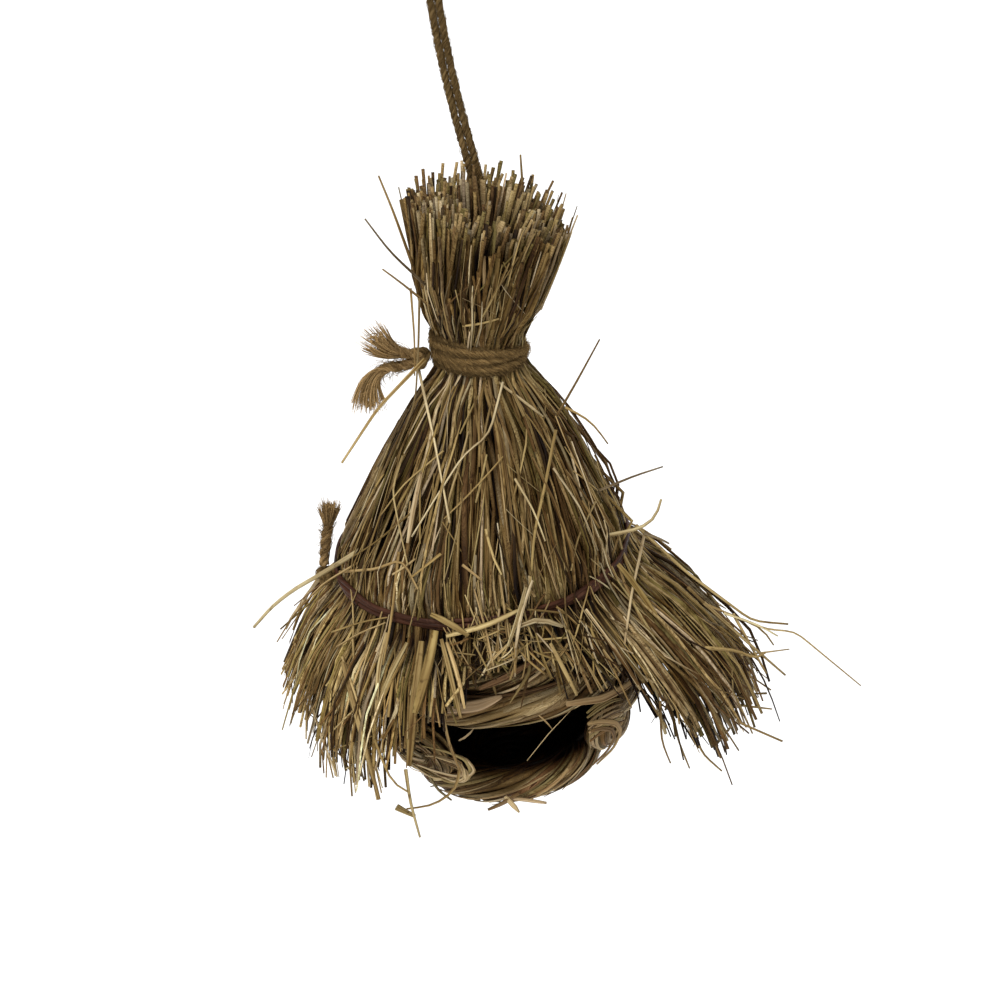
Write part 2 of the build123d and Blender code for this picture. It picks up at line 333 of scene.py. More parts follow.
def fibre_material(name, grain, stops, patches, roughness, bump, specular):
    """Fine grain along the fibres, then patches: noise, where it starts and ends, how much, which colour."""
    n = Nodes(name)
    fine = n.noise(n.lay(*grain[:2]), *grain[2:])
    colour = n.mix("MULTIPLY", 1.0, n.tint(), n.ramp(fine, *stops))
    for across, along, detail, start, end, amount, shade, darkens in patches:
        where = n.ramp(n.noise(n.lay(across, along), detail), (start, grey(0.0)), (end, grey(amount)))
        colour = n.mix("MIX", where, colour, n.mix("MULTIPLY", 1.0, colour, shade) if darkens else shade)
    rough = n.put("Math", 0, {0: fine, 1: roughness[0], 2: roughness[1]}, operation="MULTIPLY_ADD")
    return n.finish(colour, rough, fine, *bump, specular)


# dried grass: fine ribs, weathered patches and dark specks
STRAW = fibre_material(
    "straw", (7.0, 20.0, 4.0, 0.65), ((0.36, (0.30, 0.23, 0.14)), (0.5, (0.84, 0.80, 0.74)), (0.63, grey(1.0))),
    ((0.9, 34.0, 3.0, 0.44, 0.62, 0.85, (0.58, 0.52, 0.46), True),
     (3.0, 330.0, 2.0, 0.60, 0.72, 0.65, (0.25, 0.17, 0.11), True)),
    (0.3, 0.42), (0.6, 0.0005), 0.08)
# twisted leaf: long creases, pale edges and darker folds
LEAF = fibre_material(
    "leaf_rope", (9.0, 9.0, 5.0, 0.62),
    ((0.36, (0.14, 0.09, 0.045)), (0.49, (0.80, 0.75, 0.66)), (0.62, grey(1.0))),
    ((1.2, 18.0, 3.0, 0.45, 0.66, 0.7, (0.66, 0.54, 0.42), True),), (0.3, 0.42), (0.8, 0.0009), 0.1)
# jute: soft fibres that lie nearly along the strand
JUTE = fibre_material(
    "jute", (10.0, 120.0, 5.0, 0.7),
    ((0.36, (0.22, 0.16, 0.09)), (0.5, (0.85, 0.82, 0.76)), (0.66, grey(1.35))),
    ((1.0, 40.0, 3.0, 0.4, 0.7, 0.55, (0.55, 0.48, 0.42), True),), (0.15, 0.75), (0.9, 0.0006), 0.05)
# cane: dark red-brown bark with lengthwise grain and worn patches
CANE = fibre_material(
    "cane", (6.0, 40.0, 4.0, 0.6), ((0.3, grey(0.4)), (0.68, grey(1.0))),
    ((1.0, 60.0, 3.0, 0.56, 0.76, 0.6, (0.10, 0.045, 0.026), False),), (0.3, 0.36), (0.5, 0.0004), 0.09)

# Colours, and how often each comes
STRAW_TINTS = (
    ((0.230, 0.158, 0.064), 28),  # khaki
    ((0.385, 0.290, 0.135), 21),  # straw yellow
    ((0.265, 0.215, 0.135), 12),  # weathered grey
    ((0.125, 0.072, 0.026), 18),  # brown
    ((0.165, 0.128, 0.043), 12),  # olive
    ((0.034, 0.019, 0.007), 9),  # nearly black
    ((0.58, 0.48, 0.30), 8),  # pale
)
PALE_TINTS = (((0.47, 0.355, 0.165), 5), ((0.35, 0.25, 0.10), 5), ((0.60, 0.50, 0.31), 3))
LEAF_TINTS = (
    ((0.46, 0.34, 0.175), 32),  # tan
    ((0.66, 0.53, 0.32), 28),  # pale
    ((0.21, 0.132, 0.056), 24),  # brown
    ((0.33, 0.19, 0.09), 6),  # reddish
    ((0.26, 0.202, 0.088), 13),  # olive
)
JUTE_TINT = (0.176, 0.117, 0.049)


def pick_tint(rng, tints, spread=0.16):
    colour = np.array(rng.choices([c for c, _ in tints], [w for _, w in tints])[0])
    warmth = np.array([1 + rng.uniform(-0.04, 0.04), 1, 1 + rng.uniform(-0.08, 0.08)])
    return colour * (1 + rng.uniform(-spread, spread)) * warmth


# ---- the straw's shape
# height above the neck, shift in X, outer radius, and depth of the straw below its outside
STRAW_SHAPE = np.array((
    (70, 15, 36.4, 36.4), (58.5, 13.5, 33, 33), (34, 7, 28.6, 28.6), (17, 4, 23, 23), (9, 1.2, 17.4, 17.4),
    (-7, 0, 16.6, 16.6), (-13, -1.7, 23.6, 18), (-30, -2.2, 34.2, 14), (-50, -5, 44.6, 12.5),
    (-78, -8.7, 58.4, 10.5), (-88, -9, 60.8, 9), (-96, -9, 64.5, 9.5), (-104, -9, 70.5, 10.5),
    (-114, -8.8, 77.5, 11.5), (-126, -8, 85, 12), (-142, -6.5, 93, 12), (-162, -4.5, 98, 12),
    (-195, -2, 103, 12),
))[::-1]
NECK_R = 16.6
TUFT_H, BUNCHES = 58, 58  # the tuft's height, and how many bunches go round the hem
BAND_R = 62.0
BAND_RISE = BAND_R * math.tan(math.radians(5.5))  # the band lies higher at the back
# where the stalks end below the neck, by azimuth in degrees from +X
RIM = np.array((
    (0, -174), (20, -172), (60, -168), (90, -163), (120, -158), (150, -150), (180, -137), (196, -141),
    (209, -147), (220, -156), (231, -155), (237, -146), (241, -139), (248, -132), (257, -123), (262, -106),
    (272, -103), (284, -104), (291, -120), (299, -121), (309, -122), (313, -130), (317, -157), (324, -166),
    (338, -169), (360, -174),
))
STALK_HEIGHTS = (46, 34, 24, 17, 11, 3, -5, -11, -18, -27, -38, -50, -63, -76, -86, -94, -102, -111, -121, -132,
                 -144, -157, -171)


def shape_at(heights):
    """Shift, outer radius and depth at some heights above the neck."""
    return [np.interp(heights, STRAW_SHAPE[:, 0], STRAW_SHAPE[:, column]) for column in (1, 2, 3)]


def rim_at(azimuth):
    return np.interp(math.degrees(azimuth) % 360, RIM[:, 0], RIM[:, 1])


def smooth_step(value):
    value = np.clip(value, 0, 1)
    return value * value * (3 - 2 * value)


def kinks(rng, heights, spacing, sway):
    """Offsets that are straight between bends some way apart."""
    bends = np.arange(heights.min() - spacing, heights.max() + spacing, spacing * rng.uniform(0.8, 1.3))
    return np.interp(heights, bends, [rng.gauss(0, sway) for _ in bends])


def painted_thatch_shade(rings):
    """Painted shade and light for the straw's colour: how light reaches into the straw, full at its surface and
    at the cut ends, little between stalks.
    """
    away = rings - NECK
    shift, outer, _ = shape_at(away[..., 2])
    across = away[..., 0] - shift
    reach = np.hypot(across, away[..., 1])
    skirt = smooth_step((-96 - away[..., 2]) / 60)
    buried = outer + 5.0 * skirt * np.clip(across / np.maximum(reach, 1), 0, 1) - reach
    lit = smooth_step((4.2 + 2.6 * skirt - buried) / (4.0 + 2.4 * skirt))
    # painted shade: the sides of the tuft above the binding are painted darker
    lit = lit * (1 - 0.42 * smooth_step((away[..., 2] - 4) / 10))
    # painted shade: dark gaps run down between the bunches; painted light: the hem is painted lighter, most on
    # its left where the key light falls, and the roof is painted darker towards its right
    azimuth = np.arctan2(away[..., 1], across)
    gaps = np.sin(19 * azimuth + away[..., 2] / 26) + np.sin(31 * azimuth - away[..., 2] / 17 + 1.3)
    lit = lit * (1 - 0.66 * smooth_step((gaps - 0.6) / 0.9) * smooth_step(-away[..., 2] / 30))
    side = np.clip(across / 40, -1, 1)
    hem = smooth_step((-80 - away[..., 2]) / 20)
    roof = (1 - hem) * (0.04 + 0.14 * side) * smooth_step(-away[..., 2] / 30)
    lit = lit * (1 + hem * (0.34 - 0.28 * side) - roof)
    cut = 1.08 * smooth_step((away[..., 2] + 0.3 * across - 46) / 13)
    return 0.07 + 0.93 * np.maximum(lit**1.25, cut)


def stalk_line(rng, top, end, azimuth, drift, depth_top, depth_end, lean=0.0, lift=0.0, lock=0.0, sway=1.0,
               splay=0.0):
    """A stalk's line from a height above the neck down to another, and which way is out along it."""
    inner = [h + rng.uniform(-3, 3) for h in STALK_HEIGHTS if end + 6 < h < top - 6]
    heights = np.array([top, *inner, end], float)
    shift, outer, thickness = shape_at(heights)
    depth = np.interp(heights, (-110, -40, 10), (depth_end, (depth_end + depth_top) / 2, depth_top))
    packed = outer * np.sqrt(np.clip(1 - depth, 0, 1))
    spread = outer - thickness * depth
    radius = packed + (spread - packed) * smooth_step((-12 - heights) / 26)
    fan = np.where(heights < 0, 1 - NECK_R / np.maximum(outer, NECK_R), 0)
    angle = azimuth + drift * fan / max(fan[-1], 0.3)
    width = TURN / BUNCHES
    middle = (math.floor(angle[-1] / width) + 0.5) * width
    angle = angle + (middle - angle) * lock * smooth_step((-60 - heights) / 90)
    away = np.maximum(radius, 12)
    in_tuft = np.clip(heights, 0, None) / TUFT_H
    angle = angle + lean * in_tuft / away
    angle = angle + kinks(rng, heights, 42, sway) * np.clip(np.abs(heights) / 20, 0.2, 1) / away
    radius = radius + kinks(rng, heights, 38, sway * 0.7) * np.clip(np.abs(heights) / 20, 0.2, 1)
    radius = radius + lift * smooth_step((-66 - heights) / 80) + splay * in_tuft**1.5
    radius = radius + 5.0 * np.clip(np.cos(angle), 0, 1) * smooth_step((-96 - heights) / 60)
    # the band holds the straw in
    to_band = np.abs(heights - BAND[2] - BAND_RISE * np.sin(angle))
    radius = np.minimum(radius, BAND_R - 2.2 + np.clip(to_band - 6, 0, None) * 1.3)
    points = circle(angle, radius, heights)
    points[:, 0] += shift
    return points + NECK, circle(angle, height=0.35)


def add_tube(weave, rng, path, outward, girth, tint, taper, tips=True):
    """Give a line its section: a round hollow stalk, a flattened one, or a split strip."""
    count = len(path)
    size = girth * np.interp(np.linspace(0, 1, count), np.linspace(0, 1, len(taper)), taper)
    shades = np.outer(1 + kinks(rng, np.arange(count) * 10.0, 30, 0.13), tint)
    kind = rng.random()
    if kind < 0.55:
        if tips:
            shades[0] = shades[0] * 1.2 + (0.05, 0.038, 0.02)
        weave.tube(path, size, tint=shades, facing=outward, hollow=tips and girth > 0.6, shade=painted_thatch_shade)
        return
    roll = rng.uniform(-0.5, 0.5) + kinks(rng, np.arange(count) * 10.0, 60, 0.5)
    broad, thin, fold, twist = (1.25, 0.6, 0.22, 1.0) if kind < 0.86 else (1.7, 0.2, 0.4, 1.8)
    weave.tube(path, size * broad, size * thin, tint=shades, facing=outward, roll=roll * twist, fold=fold,
               shade=painted_thatch_shade)


def tuft_height(rng, azimuth, depth):
    """The tuft is cut square to its lean, and its stalks end unevenly."""
    reach = 34.6 * math.sqrt(max(0.0, 1 - depth))
    across = reach * math.cos(azimuth)
    behind = reach * math.sin(azimuth)
    height = 57.5 - 0.33 * across + 0.07 * behind - reach**2 / 600
    if abs(across + 4) < 8 and -14 < behind < 1:
        height += rng.uniform(7, 13)
    height += rng.gauss(0, 2.3)
    if depth < 0.25 and rng.random() < 0.28:
        return height - rng.uniform(4, 30)
    return height + (rng.uniform(2, 7) if rng.random() < 0.05 else 0)


def add_full_stalk(weave, rng, azimuth, depth):
    """A stalk from the cut end in the tuft down to the rim."""
    drift = rng.gauss(0, math.radians(9))
    end = rim_at(azimuth + drift) + rng.gauss(0, 3) + abs(rng.gauss(0, 8))
    path, outward = stalk_line(
        rng, tuft_height(rng, azimuth, depth), end, azimuth, drift, depth, depth, lean=rng.gauss(0, 8),
        lift=rng.gauss(0, 3), lock=rng.uniform(0.1, 0.8), sway=1.3, splay=rng.gauss(0.4, 1.6),
    )
    add_tube(weave, rng, path, outward, rng.uniform(0.56, 0.95), pick_tint(rng, STRAW_TINTS),
             (0.85, 0.88, 0.85, 0.88, 0.95, 0.9, 0.7))


def add_tuft_stalk(weave, rng, azimuth, depth):
    """A short stalk that only stands in the tuft, and leans more than the others."""
    path, outward = stalk_line(
        rng, tuft_height(rng, azimuth, depth), rng.uniform(-8, 4), azimuth, 0, depth, depth,
        lean=rng.gauss(0, 14), sway=1.4, splay=2.4 * abs(rng.gauss(0, 1)) * max(0.2, math.cos(azimuth)),
    )
    add_tube(weave, rng, path, outward, rng.uniform(0.38, 0.78), pick_tint(rng, STRAW_TINTS), (1.0, 0.9, 0.7))


def add_skirt_stalk(weave, rng, azimuth, depth):
    """A thinner stalk that comes out from under the others below the binding."""
    start = rng.choice((rng.uniform(-8, 4), rng.uniform(-8, 4), rng.uniform(-80, -14)))
    drift = rng.gauss(0, math.radians(10.5))
    ragged = 1 + 0.8 * max(0, math.cos(azimuth))
    end = rim_at(azimuth + drift) + rng.gauss(0, 4 * ragged) + abs(rng.gauss(0, 10 * ragged))
    if start - end < 20:
        return
    path, outward = stalk_line(
        rng, start, end, azimuth, drift, min(0.95, depth + 0.35), depth, lift=rng.gauss(0, 4.2),
        lock=rng.uniform(0.0, 0.9), sway=1.0 + 2.2 * ragged,
    )
    if rng.random() < 0.35:
        path[-1] += (rng.gauss(0, 4 * ragged), rng.gauss(0, 3), rng.gauss(1, 2))
    add_tube(weave, rng, path, outward, rng.uniform(0.34, 0.8), pick_tint(rng, STRAW_TINTS),
             (0.8, 1.0, 1.0, rng.uniform(0.4, 0.9)), tips=False)


def add_hair(weave, rng, azimuth, depth):
    """A thin fibre or torn leaf edge that wanders over the straw."""
    start = rng.choice((rng.uniform(20, 50), rng.uniform(-110, -20), rng.uniform(-110, -20)))
    drift = rng.gauss(0, 0.4)
    rim = max(rim_at(azimuth), rim_at(azimuth + drift))
    end = max(start - rng.uniform(25, 80), rim - 4) if start < 0 else rng.uniform(8, 14)
    if start - end < 10:
        return
    path, outward = stalk_line(rng, start, end, azimuth, drift, 0, 0, lift=rng.uniform(-1, 4), sway=2.6)
    weave.tube(path, rng.uniform(0.16, 0.36), tint=pick_tint(rng, PALE_TINTS), facing=outward, sides=4)


def straw_sheaves():
    """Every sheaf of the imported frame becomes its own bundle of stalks."""
    for layer, count, shallow, deep, kinds in (
        ("outer", 12, 0.0, 0.45,
         ((add_full_stalk, 32), (add_tuft_stalk, 44), (add_skirt_stalk, 108), (add_hair, 22))),
        ("inner", 8, 0.45, 1.0, ((add_full_stalk, 30), (add_tuft_stalk, 26), (add_skirt_stalk, 46))),
    ):
        for index in range(count):
            rng, weave = start(100 * (layer == "inner") + index)
            for add, number in kinds:
                for step in range(number):
                    azimuth = (index + (step + rng.random()) / number) * TURN / count
                    add(weave, rng, azimuth, rng.uniform(shallow, deep))
            weave.build(f"{layer}_stalks_{index + 1:02d}", STRAW, f"straw_{layer}_{index + 1:02d}")


straw_sheaves()


# ---- stray stalks and leaves, placed one by one
def on_straw(x, z, lift=2.5):
    """The point on the front of the straw at X and a height, both from the neck."""
    shift, outer, _ = shape_at(z)
    return (x, -math.sqrt(max(0.0, (outer + lift) ** 2 - (x - shift) ** 2)), z)


# Long pale straws that lie across the front of the roof: (X, height) along each
ROOF_STRAYS = (
    ((-26, 2), (-22, -28), (-20, -54)), ((8, -8), (0, -24), (-11, -30), (-24, -45), (-36, -60)),
    ((-19, -29), (-37, -43), (-48, -56)), ((-34, -51), (-52, -66), (-69, -82)),
    ((-69, -84), (-52, -74), (-41, -68), (-36, -78)), ((-36, -34), (-42, -46), (-41, -55), (-39, -70)),
    ((-42, -66), (-48, -90), (-54, -107)), ((27, -30), (20, -46), (13, -62), (8, -84)),
    ((-25, -65), (-38, -74)), ((-17, -69), (-10, -75)), ((8, -41), (14, -54), (17, -66)),
    ((-6, -57), (-5, -67), (-2, -74)), ((24, -42), (33, -60), (38, -78)), ((40, -62), (30, -70), (26, -80)),
    ((65, -115), (82, -131), (94, -139)), ((-20, -20), (-30, -40), (-33, -62)),
    ((-75, -104), (-60, -95), (-50, -91)), ((-73, -107), (-62, -99), (-51, -93)),
    ((-71, -109), (-66, -122), (-63, -157)), ((-57, -107), (-66, -122), (-72, -143)),
    ((-89, -126), (-84, -139), (-79, -153)), ((-61, -133), (-56, -149), (-50, -151)),
    ((-44, -102), (-53, -114), (-61, -129)), ((30, -96), (40, -112), (48, -128)),
    ((60, -92), (50, -100), (44, -112)),
)
# Flat leaves over the skirt and round the entrance: half width, then (X, height)
LEAF_STRAYS = (
    (2.1, (-31, -93), (-36, -106), (-43, -121)), (1.8, (-37, -97), (-43, -118), (-48, -140)),
    (1.1, (-29, -37), (-33, -47), (-38, -62)), (1.0, (-43, -98), (-52, -110), (-60, -125)),
    (1.1, (-51, -96), (-56, -108), (-59, -123)), (1.1, (-29, -96), (-27, -108), (-25, -122)),
    (1.0, (-27, -97), (-24, -108), (-23, -119)), (1.2, (-27, -95), (-10, -92), (4, -88)),
    (1.4, (-32, -87), (-25, -90), (-18, -95)), (1.4, (3, -94), (10, -92), (20, -98)),
    (0.9, (7, -80), (3, -90), (-3, -100)), (0.8, (10, -78), (4, -89), (0, -101)),
    (1.0, (14, -102), (18, -111), (22, -121)), (1.2, (-71, -110), (-66, -132), (-62, -156)),
    (1.3, (46, -88), (52, -98), (60, -112)),
)
# Stalks that stand clear of the straw: half width, then (X, Y, height) along each
FREE_STRAYS = (
    (0.85, (-22, -19, 6), (-31, -24, 0), (-43, -28, -9), (-60, -34, -28)),
    (0.5, (-24, -12, 34), (-25, -15, 14), (-27, -15, -2)),
    (0.5, (-21, -14, 30), (-24, -17, 10), (-28, -18, -12), (-38, -22, -30)),
    (0.6, (27, -14, -29), (38, -12, -14), (49, -10, 2)),
    (0.55, (32, -14, -24), (42, -12, -32), (48, -10, -44)),
    (0.6, (42, -18, -61), (57, -12, -59), (70, -6, -59)),
    (0.9, (44, -30, -76), (56, -32, -74), (62, -34, -70), (65, -34, -65), (66, -34, -61)),
    (0.7, (58, -30, -77), (64, -30, -80), (68, -28, -84)),
    (0.8, (55, -30, -73), (74, -28, -98), (100, -27, -125), (115, -26, -129)),
    (0.5, (81, -30, -113), (105, -28, -129), (118, -24, -134), (145, -20, -166)),
    (0.8, (74, -30, -104), (86, -30, -120), (95, -28, -134)),
    (0.8, (80, -30, -112), (96, -30, -132), (112, -28, -152)), (0.7, (92, -28, -120), (104, -28, -150)),
    (0.5, (94, -28, -140), (115, -24, -142)), (0.7, (66, -60, -140), (72, -50, -172), (80, -46, -184)),
    (0.6, (88, -30, -118), (103, -28, -127), (110, -28, -133)),
    (0.6, (92, -28, -121), (104, -28, -128), (108, -28, -137)),
    (0.5, (86, -30, -124), (101, -28, -142), (103, -28, -148)),
    (0.9, (78, -40, -128), (92, -34, -134), (100, -32, -141), (104, -30, -139)),
    (0.6, (60, -58, -140), (62, -56, -160), (66, -54, -176)),
    (0.6, (56, -62, -138), (55, -60, -158), (58, -58, -170)), (0.6, (92, -24, -166), (106, -22, -171)),
    (1.3, (56, -34, -146), (57, -32, -160), (59, -30, -172)),
    (1.1, (-58, -20, -73), (-73, -24, -79), (-88, -28, -84), (-98, -27, -91), (-107, -26, -100)),
    (0.5, (-60, -22, -78), (-76, -26, -84), (-90, -28, -96), (-98, -30, -106)),
    (0.8, (-50, -78, -146), (-50, -80, -160), (-48, -82, -176)),
    (0.9, (-32, -64, -108), (-33, -64, -122), (-32, -63, -144), (-29, -62, -159)),
    (0.7, (-29, -62, -158), (-31, -62, -167), (-41, -62, -174), (-53, -62, -174)),
    (1.5, (-57, -62, -172.5), (-54, -62, -175), (-50, -62, -178)),
    (0.7, (-22, -4, 40), (-27, -4, 64), (-31, 0, 78)), (0.7, (25, 12, 52), (26, 12, 76)),
    (0.6, (-18, -16, 36), (-30, -18, 52), (-38, -16, 66)),
    (0.6, (-16, -12, 24), (-26, -14, 36), (-34, -14, 44)), (0.6, (27, 6, 12), (37, 6, 32), (46, 6, 50)),
)


def strays():
    """The loose stalks that the eye picks out."""
    rng, weave = start(500)
    for points in ROOF_STRAYS:
        line = bent_line([on_straw(*point) for point in points]) + NECK
        girth = rng.uniform(0.4, 0.7)
        weave.tube(line, np.linspace(girth, girth * 0.7, len(line)), girth * 0.6,
                   tint=pick_tint(rng, PALE_TINTS), facing=(0, -1, 0.3))
    for half, *points in LEAF_STRAYS:
        line = bent_line([on_straw(*point, lift=3.5) for point in points]) + NECK
        reach = np.linspace(0.35, math.pi - 0.2, len(line))
        weave.tube(line, half * np.sin(reach) ** 0.35, 0.16, tint=pick_tint(rng, PALE_TINTS),
                   facing=(0, -1, 0.3), roll=rng.uniform(-0.6, 0.6), fold=0.25)
    for half, *points in FREE_STRAYS:
        line = bent_line(points) + NECK
        weave.tube(line, np.linspace(half, half * 0.55, len(line)), half * 0.5,
                   tint=pick_tint(rng, rng.choice((STRAW_TINTS[:3], PALE_TINTS))), facing=(0, -1, 0.3))
    weave.build("stray_stalks_and_leaves", STRAW, "stray_stalks")


def broken_bits():
    """Short torn bits caught on the straw, most of them above the entrance."""
    rng, weave = start(510)
    for number in range(610):
        tangled = number < 110
        low, high, top = (0, 360, 50) if number < 520 else (300, 375, -88)
        azimuth = math.radians(rng.gauss(275, 9.5) if tangled else rng.uniform(low, high))
        z = rng.uniform(-108, -91) if tangled else max(rim_at(azimuth) + 12, rng.uniform(-150, top))
        length = rng.uniform(5, 18) if tangled else rng.uniform(10, 34)
        heading = rng.gauss(0, 1.0 if tangled else rng.choice((0.18, 0.5)))
        reach = np.linspace(-0.5, 0.5, 6) * length
        heights = z + reach * math.cos(heading)
        shift, outer, _ = shape_at(heights)
        stand_off = rng.uniform(-0.4, 1.6)
        outer = outer + stand_off + rng.uniform(0, 0.12 if tangled else 0.03) * (reach + length / 2)
        bow = rng.gauss(0, 0.5) * np.cos(reach / length * math.pi)
        angle = azimuth + (reach * math.sin(heading) + bow) / outer
        line = NECK + circle(angle, outer, heights)
        line[:, 0] += shift
        half = rng.uniform(0.22, 0.7)
        weave.tube(line, half * np.array((0.7, 1, 1, 0.95, 0.9, 0.6)), half * rng.choice((0.25, 0.7)),
                   tint=pick_tint(rng, PALE_TINTS if rng.random() < 0.5 else STRAW_TINTS),
                   facing=line - NECK, roll=rng.uniform(-1, 1))
    weave.build("broken_bits", STRAW)


strays()
broken_bits()


# ---- leaf rope
ROW_R, FLATTEN, ROPE_R = 50.3, 0.855, 7.6
# the lacing's radius, and that of the near-black wall of painted shade behind the rows
LACING_R, SHADE_WALL_R = 54.0, 44.0
TOP_ROW, ROW_STEP = 14.3, 20.5
ROW_NODES = ("rope_crown", "rope_shoulder", "rope_brow", "rope_upper_lip", None, None, "rope_lower_lip",
             "rope_base_ring")
SIDE_UPPER, SIDE_LOWER = TOP_ROW + 4 * ROW_STEP, TOP_ROW + 5 * ROW_STEP
ENTRANCE, FOLD = math.radians(-85), math.radians(54)
OPEN = (ENTRANCE + FOLD, TURN - 2 * FOLD)


def ball_place(polar_deg, azimuth, distance):
    """Places on the flattened ball, and the ways out of it and down along it."""
    polar = math.radians(polar_deg)
    around = np.stack([np.cos(azimuth), np.sin(azimuth), azimuth * 0], axis=-1)
    rise = np.array([0, 0, 1.0])
    sag = np.array([-2.4, 0, 0]) * smooth_step((polar_deg - 110) / 30)
    place = BALL + sag + distance * (around * math.sin(polar) + rise * FLATTEN * math.cos(polar))
    return (place, unit(around * math.sin(polar) * FLATTEN + rise * math.cos(polar)),
            unit(around * math.cos(polar) - rise * FLATTEN * math.sin(polar)))


def on_ball(x, z, lift):
    """The point on the front of the ball at X and a height, both from the neck."""
    middle = BALL - NECK
    wide = ROW_R + ROPE_R + lift
    high = ROW_R * FLATTEN + ROPE_R + lift
    off_centre = ((x - middle[0]) / wide) ** 2 + ((z - middle[2]) / high) ** 2
    return (x, -wide * math.sqrt(max(0.0, 1 - off_centre)), z)


def rope_shade(core, radius):
    """Painted shade for the leaf: dark in the grooves of its rope, and dark inside the nest."""
    def shade(rings):
        away = (rings - BALL) / (1, 1, FLATTEN)
        inside = smooth_step((np.linalg.norm(away, axis=-1) - 45.0) / 7.0)
        groove = np.linalg.norm(rings - core[:, None], axis=-1) / np.reshape(radius, (-1, 1))
        groove = smooth_step((groove - 0.74) / 0.26)
        return (0.07 + 0.93 * inside) * (0.24 + 0.76 * groove)
    return shade


def rope(weave, rng, line, outward, radius, loose, strands=15, pitch=125.0):
    """A closed rope of leaf strands laid loosely round a line. outward points away from the ball."""
    count = len(line)
    radius = np.broadcast_to(radius, (count,))
    ahead = around_loop(line)
    out = unit(outward - ahead * (outward * ahead).sum(axis=1)[:, None])
    side = np.cross(ahead, out)
    steps = np.linalg.norm(np.roll(line, -1, axis=0) - line, axis=1)
    along = np.concatenate([[0], np.cumsum(steps)[:-1]])
    total = steps.sum()
    turns = -max(1, round(total / pitch))
    share = along / total * TURN

    def wander(amount, *waves):
        return sum(amount * np.sin(share * wave + rng.uniform(0, TURN)) / len(waves) for wave in waves)

    for reach, half, number in ((0.34, radius * 0.36, 4), (0.78, radius * 0.25, strands)):
        for strand in range(number):
            phase = TURN * (strand + rng.uniform(-0.3, 0.3)) / number
            angle = phase + share * turns + wander(0.2, rng.randint(2, 4), rng.randint(5, 8))
            radial = turned(out, side, angle)
            path = line + radial * (radius * reach * (1 + wander(0.09, 3, rng.randint(6, 11))))[:, None]
            wide = half * rng.uniform(0.75, 1.2) * (1 + wander(0.25, rng.randint(3, 6), rng.randint(8, 14)))
            roll = wander(0.6, rng.randint(2, 5), rng.randint(6, 9))
            weave.tube(path, wide, wide * 0.5, tint=pick_tint(rng, LEAF_TINTS, 0.25), sides=10, facing=radial,
                       roll=roll, ridges=0.12, closed=True, shade=rope_shade(line, radius))
    for strip in range(loose):
        length = rng.randint(max(8, count // 10), max(10, count // 3))
        picks = (rng.randrange(count) + np.arange(length)) % count
        travel = np.concatenate([[0], np.cumsum(steps[picks[:-1]])])
        angle = rng.uniform(-2.2, 2.2) + travel / total * TURN * turns * rng.uniform(0.6, 1.4)
        radial = turned(out[picks], side[picks], angle)
        ends = np.linspace(-1, 1, length) ** 8 * rng.uniform(-0.1, 0.2)
        path = line[picks] + radial * (radius[picks] * (0.96 + rng.uniform(0, 0.07) + ends))[:, None]
        wide = rng.uniform(0.3, 1.0) * np.sin(np.linspace(0.25, math.pi - 0.25, length)) ** 0.5
        weave.tube(path, wide, wide * 0.3 + 0.05, tint=pick_tint(rng, LEAF_TINTS, 0.35), facing=radial,
                   roll=rng.uniform(-0.5, 0.5), fold=0.2, shade=rope_shade(line[picks], radius[picks]))


def ring_line(polar_deg, distance, rng, start=0.0, arc=TURN, step=3.0, uneven=0.5):
    """Points round the ball at a polar angle, a little uneven, and the ball's outward directions."""
    count = max(20, int(distance * math.sin(math.radians(polar_deg)) * arc / step))
    closed = arc >= TURN - 1e-6
    azimuth = start + arc * np.arange(count) / (count if closed else count - 1)
    swing = uneven * (np.sin(azimuth * 3 + rng.uniform(0, TURN)) + np.sin(azimuth * 5 + rng.uniform(0, TURN)))
    place, outward, downward = ball_place(polar_deg, azimuth, distance)
    return place + downward * swing[:, None], outward


def closed_rows():
    for order, node in enumerate(ROW_NODES):
        if node:
            rng, weave = start(300 + order)
            lip = node == "rope_upper_lip"
            line, outward = ring_line(TOP_ROW + ROW_STEP * order - 2.2 * lip, ROW_R, rng)
            at_entrance = "lip" in node or "brow" in node
            rope(weave, rng, line, outward, ROPE_R - 0.6 * lip, loose=90 if at_entrance else 24)
            weave.build(node + "_strands", LEAF, node)


def side_rope():
    """The rope beside the entrance runs round the back and turns back on itself at both sides."""
    rng, weave = start(340)
    upper, upper_out = ring_line(SIDE_UPPER, ROW_R, rng, *OPEN, uneven=0.2)
    lower, lower_out = ring_line(SIDE_LOWER, ROW_R, rng, *OPEN, uneven=0.2)
    folds = []
    for azimuth, sense in ((OPEN[0] + OPEN[1], 1), (OPEN[0], -1)):
        top, outward, _ = ball_place(SIDE_UPPER, np.float64(azimuth), ROW_R)
        low = ball_place(SIDE_LOWER, np.float64(azimuth), ROW_R)[0]
        half = (low - top) / 2
        around = np.array([-math.sin(azimuth), math.cos(azimuth), 0]) * sense * np.linalg.norm(half)
        bend = np.linspace(0, math.pi, 11)[1:-1, None]
        points = (top + low) / 2 + np.sin(bend) * around - np.cos(bend) * half
        folds.append((points, np.tile(outward, (len(points), 1))))
    line = np.concatenate([upper, folds[0][0], lower[::-1], folds[1][0][::-1]])
    outward = np.concatenate([upper_out, folds[0][1], lower_out[::-1], folds[1][1]])
    tightest = np.minimum(*(np.linalg.norm(line - points[4], axis=1) for points, _ in folds))
    rope(weave, rng, line, outward, ROPE_R - 2.0 * smooth_step((22 - tightest) / 14), pitch=260, loose=110)
    weave.build("rope_side_strands", LEAF, "rope_side_upper", "rope_side_lower",
                "rope_fold_left", "rope_fold_right")


